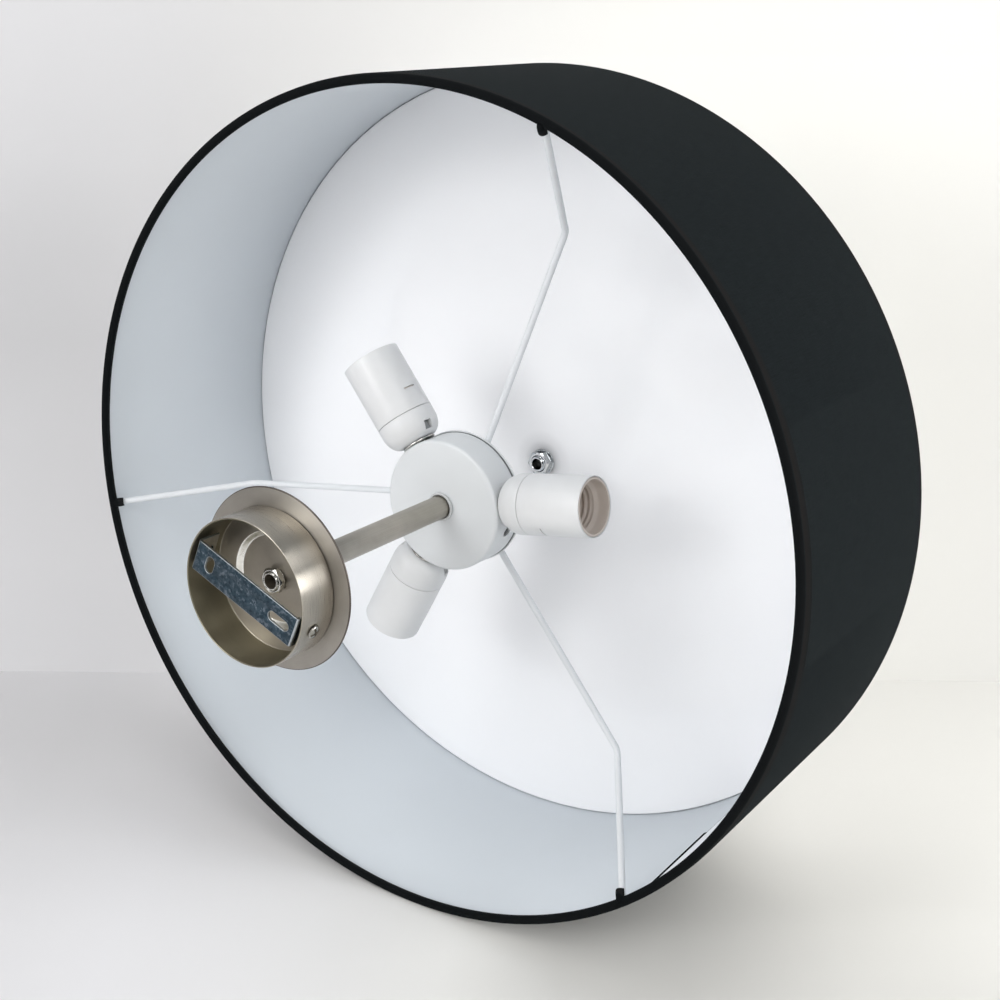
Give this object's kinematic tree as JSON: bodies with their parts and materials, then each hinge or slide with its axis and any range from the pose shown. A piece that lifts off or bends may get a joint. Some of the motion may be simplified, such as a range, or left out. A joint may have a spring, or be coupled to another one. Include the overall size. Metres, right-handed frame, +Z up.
{
  "type": "ceiling light",
  "caption": "Semi-flush ceiling light: strap, round canopy and stem carry a hub with lampholders and a wire spider under a black fabric drum with a loose opal diffuser.",
  "frame": {"origin": "middle of the ceiling strap's upper face, in the plane of the ceiling", "axes": "+Z up into the ceiling along the stem, +X along the strap towards its cross slot"},
  "size_m": [0.5, 0.5, 0.2947],
  "materials": {
    "zinc_steel": "zinc-plated sheet, mottled, satin",
    "brushed_nickel": "warm satin brushed nickel",
    "bright_steel": "bright plated steel",
    "chrome": "polished",
    "white_paint": "satin powder coat",
    "white_plastic": "smooth gloss",
    "socket_plastic": "matt, warm grey",
    "spring_brass": "bright strip",
    "black_oxide": "black oxide",
    "black_fabric": "fine plain weave, near black",
    "lining_film": "matt pale lining sheet",
    "opal_acrylic": "opal, glossy",
    "ring_paint": "painted wire"
  },
  "bodies": {
    "fixture": {"ceiling_bracket": "zinc_steel", "canopy_cup": "brushed_nickel", "canopy_plate": "brushed_nickel", "bracket_screw_1": "bright_steel", "bracket_screw_2": "bright_steel", "stem_washer_top": "bright_steel", "stem_nut_top": "bright_steel", "stem_nipple_top": "bright_steel", "stem_tube": "brushed_nickel", "stem_collar": "white_plastic", "stem_nipple_bottom": "bright_steel", "stem_nut_bottom": "bright_steel", "hub_can": "white_paint", "hub_lid": "white_paint", "lid_screw_1": "black_oxide", "lid_screw_2": "black_oxide", "terminal_block": "white_plastic", "spider_ring": "white_paint", "spider_nut": "bright_steel", "lampholder_dome_1": "white_plastic", "lampholder_shell_1": "white_plastic", "lampholder_insert_1": "socket_plastic", "holder_washer_1": "bright_steel", "holder_nipple_1": "bright_steel", "holder_nut_1": "bright_steel", "spider_arm_1": "white_paint", "hem_tab_1": "black_fabric", "lampholder_dome_2": "white_plastic", "lampholder_shell_2": "white_plastic", "lampholder_insert_2": "socket_plastic", "holder_washer_2": "bright_steel", "holder_nipple_2": "bright_steel", "holder_nut_2": "bright_steel", "spider_arm_2": "white_paint", "hem_tab_2": "black_fabric", "lampholder_dome_3": "white_plastic", "lampholder_shell_3": "white_plastic", "lampholder_insert_3": "socket_plastic", "holder_washer_3": "bright_steel", "holder_nipple_3": "bright_steel", "holder_nut_3": "bright_steel", "spider_arm_3": "white_paint", "hem_tab_3": "black_fabric", "ring_top": "ring_paint", "ring_bottom": "ring_paint", "shade_fabric": "black_fabric", "shade_lining": "lining_film"},
    "diffuser": {"diffuser_disc": "opal_acrylic", "diffuser_washer": "chrome", "diffuser_nut": "chrome", "diffuser_nipple": "chrome", "finial": "brushed_nickel"},
    "contact_1": {"centre_contact_1": "spring_brass"},
    "contact_2": {"centre_contact_2": "spring_brass"},
    "contact_3": {"centre_contact_3": "spring_brass"}
  },
  "joints": [
    {"name": "diffuser_lift", "type": "slide", "parent": "fixture", "child": "diffuser", "axis": [0, 0, 1], "range_m": [0, 0.065]},
    {"name": "contact_press_1", "type": "hinge", "parent": "fixture", "child": "contact_1", "pos_m": [0.05991, -0.037, -0.18907], "axis": [-0.4998, -0.8485, 0.1736], "range_deg": [0, 12], "stiffness_Nm_per_rad": 0.2, "springref_deg": -5.73},
    {"name": "contact_press_2", "type": "hinge", "parent": "fixture", "child": "contact_2", "pos_m": [-0.06344, -0.03111, -0.18671], "axis": [-0.3642, 0.6061, 0.7071], "range_deg": [0, 12], "stiffness_Nm_per_rad": 0.2, "springref_deg": -5.73},
    {"name": "contact_press_3", "type": "hinge", "parent": "fixture", "child": "contact_3", "pos_m": [0.01016, 0.0697, -0.18891], "axis": [0.9597, -0.1093, 0.2588], "range_deg": [0, 12], "stiffness_Nm_per_rad": 0.2, "springref_deg": -5.73}
  ]
}
